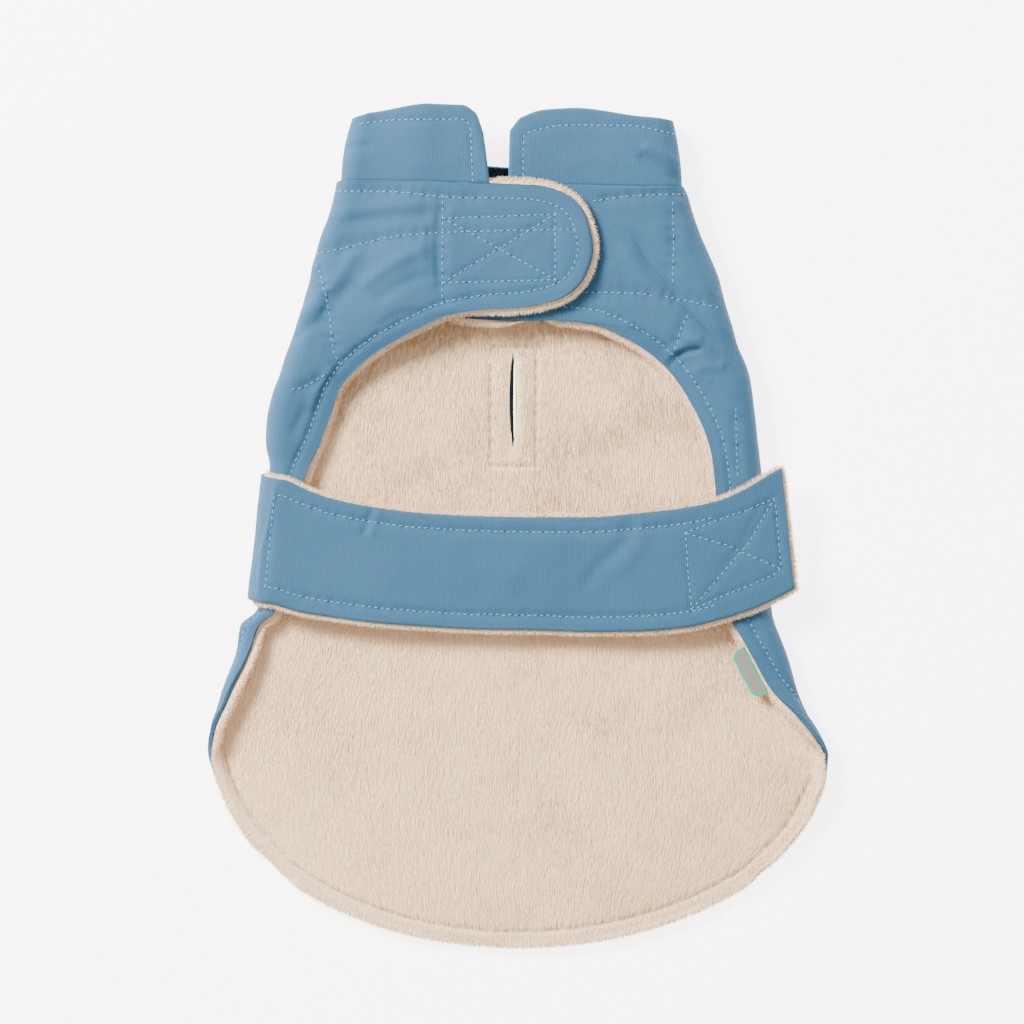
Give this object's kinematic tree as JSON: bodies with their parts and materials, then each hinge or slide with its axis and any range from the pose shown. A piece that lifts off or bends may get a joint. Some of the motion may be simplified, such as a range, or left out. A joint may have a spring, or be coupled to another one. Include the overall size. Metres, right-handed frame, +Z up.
{
  "type": "dog winter coat",
  "caption": "Plush-lined quilted dog coat laid on its back, with a stand-up collar, a tab that closes the chest wings, a belly strap and a leash slit.",
  "frame": {"origin": "under the middle of the coat's outline, on the surface that it lies on", "axes": "+X across the coat, +Y along its back towards the collar, +Z up, out of the belly side"},
  "size_m": [0.3088, 0.4189, 0.0263],
  "materials": {
    "shell_cotton": "matt blue fine-ribbed cotton, quilted in large squares",
    "plush": "cream short-pile plush with a nap along the coat",
    "label": "plain woven label with a mint edge"
  },
  "bodies": {
    "root": {"body_shell": "shell_cotton", "body_lining": "plush", "collar": "shell_cotton", "strap_shell": "shell_cotton", "strap_lining": "plush", "label": "label"}
  },
  "joints": []
}
